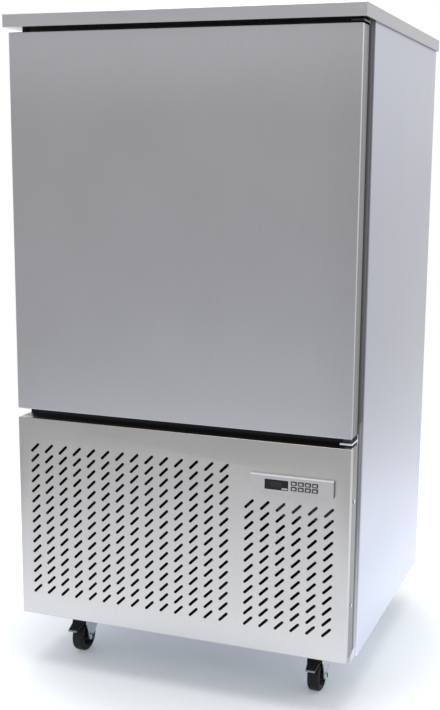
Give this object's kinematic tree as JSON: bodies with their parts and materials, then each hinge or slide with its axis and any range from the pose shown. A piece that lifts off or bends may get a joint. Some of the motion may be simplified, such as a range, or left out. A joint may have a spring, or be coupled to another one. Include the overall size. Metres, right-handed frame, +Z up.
{
  "type": "blast chiller",
  "caption": "Upright blast chiller on casters: steel cabinet with a hinged insulated door, tray racks, fans, slotted front panel with controller and refrigeration unit.",
  "frame": {"origin": "on the floor, at the middle of the worktop's outline", "axes": "+Z up, +Y from the door to the rear, +X to the right as seen from the front"},
  "size_m": [0.8, 0.745, 1.48],
  "materials": {
    "door_steel": "satin",
    "front_steel": "satin",
    "body_steel": "satin",
    "inner_steel": "satin",
    "channel_steel": "satin",
    "post_steel": "satin",
    "mouth_plastic": "matte",
    "core_board": "matte",
    "foam": "matte",
    "gasket_rubber": "matte",
    "zinc": "satin",
    "bush_nylon": "matte",
    "controller_plastic": "satin",
    "key_plastic": "matte",
    "display_lens": "gloss",
    "coil_aluminium": "satin",
    "fan_plastic": "matte",
    "guard_wire": "satin",
    "motor_paint": "satin",
    "black_paint": "satin",
    "copper": "satin",
    "box_plastic": "matte",
    "wheel_rubber": "matte",
    "pedal_plastic": "matte"
  },
  "bodies": {
    "cabinet": {"worktop": "front_steel", "worktop_board": "core_board", "left_side_panel": "body_steel", "right_side_panel": "body_steel", "rear_panel": "body_steel", "rear_grille": "body_steel", "compartment_ceiling": "inner_steel", "base_tray": "body_steel", "base_channels": "channel_steel", "front_posts": "post_steel", "mouth_frame": "mouth_plastic", "cabinet_insulation": "foam", "chamber_liner": "inner_steel", "hinges": "zinc", "lower_panel": "front_steel", "panel_screws": "zinc", "controller_housing": "controller_plastic", "display_window": "display_lens", "tray_runners": "inner_steel", "rack_uprights": "inner_steel", "evaporator_coil": "coil_aluminium", "fan_baffle": "inner_steel", "evaporator_fan_guards": "guard_wire", "evaporator_motors": "motor_paint", "drain_pipe": "bush_nylon", "compressor": "black_paint", "condenser_coil": "coil_aluminium", "condenser_shroud": "inner_steel", "condenser_motor": "motor_paint", "liquid_receiver": "black_paint", "refrigerant_lines": "copper", "electrical_box": "box_plastic", "cable_gland": "bush_nylon", "caster_plates": "zinc"},
    "door": {"door_skin": "door_steel", "door_insulation": "foam", "door_liner": "inner_steel", "door_gasket": "gasket_rubber", "hinge_bushes": "bush_nylon"},
    "key_1": {"key_1": "key_plastic"},
    "key_2": {"key_2": "key_plastic"},
    "key_3": {"key_3": "key_plastic"},
    "key_4": {"key_4": "key_plastic"},
    "key_5": {"key_5": "key_plastic"},
    "key_6": {"key_6": "key_plastic"},
    "key_7": {"key_7": "key_plastic"},
    "key_8": {"key_8": "key_plastic"},
    "evaporator_fan_upper": {"evaporator_fan_upper": "fan_plastic"},
    "evaporator_fan_lower": {"evaporator_fan_lower": "fan_plastic"},
    "condenser_fan": {"condenser_fan": "fan_plastic"},
    "fork_front_left": {"fork_front_left": "zinc"},
    "wheel_front_left": {"wheel_front_left": "wheel_rubber"},
    "fork_front_right": {"fork_front_right": "zinc"},
    "wheel_front_right": {"wheel_front_right": "wheel_rubber"},
    "fork_rear_left": {"fork_rear_left": "zinc"},
    "wheel_rear_left": {"wheel_rear_left": "wheel_rubber"},
    "fork_rear_right": {"fork_rear_right": "zinc"},
    "wheel_rear_right": {"wheel_rear_right": "wheel_rubber"},
    "pedal_left": {"pedal_left": "pedal_plastic"},
    "pedal_right": {"pedal_right": "pedal_plastic"}
  },
  "joints": [
    {"name": "door_hinge", "type": "hinge", "parent": "cabinet", "child": "door", "pos_m": [0.376, -0.3405, 1.031], "axis": [0, 0, 1], "range_deg": [0, 110]},
    {"name": "key_1_press", "type": "slide", "parent": "cabinet", "child": "key_1", "axis": [0, 1, 0], "range_m": [0, 0.0006], "stiffness_N_per_m": 600, "springref_m": -0.0005},
    {"name": "key_2_press", "type": "slide", "parent": "cabinet", "child": "key_2", "axis": [0, 1, 0], "range_m": [0, 0.0006], "stiffness_N_per_m": 600, "springref_m": -0.0005},
    {"name": "key_3_press", "type": "slide", "parent": "cabinet", "child": "key_3", "axis": [0, 1, 0], "range_m": [0, 0.0006], "stiffness_N_per_m": 600, "springref_m": -0.0005},
    {"name": "key_4_press", "type": "slide", "parent": "cabinet", "child": "key_4", "axis": [0, 1, 0], "range_m": [0, 0.0006], "stiffness_N_per_m": 600, "springref_m": -0.0005},
    {"name": "key_5_press", "type": "slide", "parent": "cabinet", "child": "key_5", "axis": [0, 1, 0], "range_m": [0, 0.0006], "stiffness_N_per_m": 600, "springref_m": -0.0005},
    {"name": "key_6_press", "type": "slide", "parent": "cabinet", "child": "key_6", "axis": [0, 1, 0], "range_m": [0, 0.0006], "stiffness_N_per_m": 600, "springref_m": -0.0005},
    {"name": "key_7_press", "type": "slide", "parent": "cabinet", "child": "key_7", "axis": [0, 1, 0], "range_m": [0, 0.0006], "stiffness_N_per_m": 600, "springref_m": -0.0005},
    {"name": "key_8_press", "type": "slide", "parent": "cabinet", "child": "key_8", "axis": [0, 1, 0], "range_m": [0, 0.0006], "stiffness_N_per_m": 600, "springref_m": -0.0005},
    {"name": "evaporator_fan_upper_spin", "type": "hinge", "parent": "cabinet", "child": "evaporator_fan_upper", "pos_m": [0, 0.165, 1.1985], "axis": [0, 1, 0], "continuous": true},
    {"name": "evaporator_fan_lower_spin", "type": "hinge", "parent": "cabinet", "child": "evaporator_fan_lower", "pos_m": [0, 0.165, 0.8585], "axis": [0, 1, 0], "continuous": true},
    {"name": "condenser_fan_spin", "type": "hinge", "parent": "cabinet", "child": "condenser_fan", "pos_m": [-0.1505, -0.2, 0.31], "axis": [0, 1, 0], "continuous": true},
    {"name": "swivel_front_left", "type": "hinge", "parent": "cabinet", "child": "fork_front_left", "pos_m": [-0.296, -0.2075, 0.08], "axis": [0, 0, 1], "continuous": true},
    {"name": "roll_front_left", "type": "hinge", "parent": "fork_front_left", "child": "wheel_front_left", "pos_m": [-0.296, -0.2425, 0.0375], "axis": [1, 0, 0], "continuous": true},
    {"name": "swivel_front_right", "type": "hinge", "parent": "cabinet", "child": "fork_front_right", "pos_m": [0.296, -0.2075, 0.08], "axis": [0, 0, 1], "continuous": true},
    {"name": "roll_front_right", "type": "hinge", "parent": "fork_front_right", "child": "wheel_front_right", "pos_m": [0.296, -0.2425, 0.0375], "axis": [1, 0, 0], "continuous": true},
    {"name": "swivel_rear_left", "type": "hinge", "parent": "cabinet", "child": "fork_rear_left", "pos_m": [-0.296, 0.315, 0.08], "axis": [0, 0, 1], "continuous": true},
    {"name": "roll_rear_left", "type": "hinge", "parent": "fork_rear_left", "child": "wheel_rear_left", "pos_m": [-0.296, 0.28, 0.0375], "axis": [1, 0, 0], "continuous": true},
    {"name": "swivel_rear_right", "type": "hinge", "parent": "cabinet", "child": "fork_rear_right", "pos_m": [0.296, 0.315, 0.08], "axis": [0, 0, 1], "continuous": true},
    {"name": "roll_rear_right", "type": "hinge", "parent": "fork_rear_right", "child": "wheel_rear_right", "pos_m": [0.296, 0.28, 0.0375], "axis": [1, 0, 0], "continuous": true},
    {"name": "brake_left", "type": "hinge", "parent": "fork_front_left", "child": "pedal_left", "pos_m": [-0.296, -0.2555, 0.0783], "axis": [1, 0, 0], "range_deg": [0, 14]},
    {"name": "brake_right", "type": "hinge", "parent": "fork_front_right", "child": "pedal_right", "pos_m": [0.296, -0.2555, 0.0783], "axis": [1, 0, 0], "range_deg": [0, 14]}
  ]
}
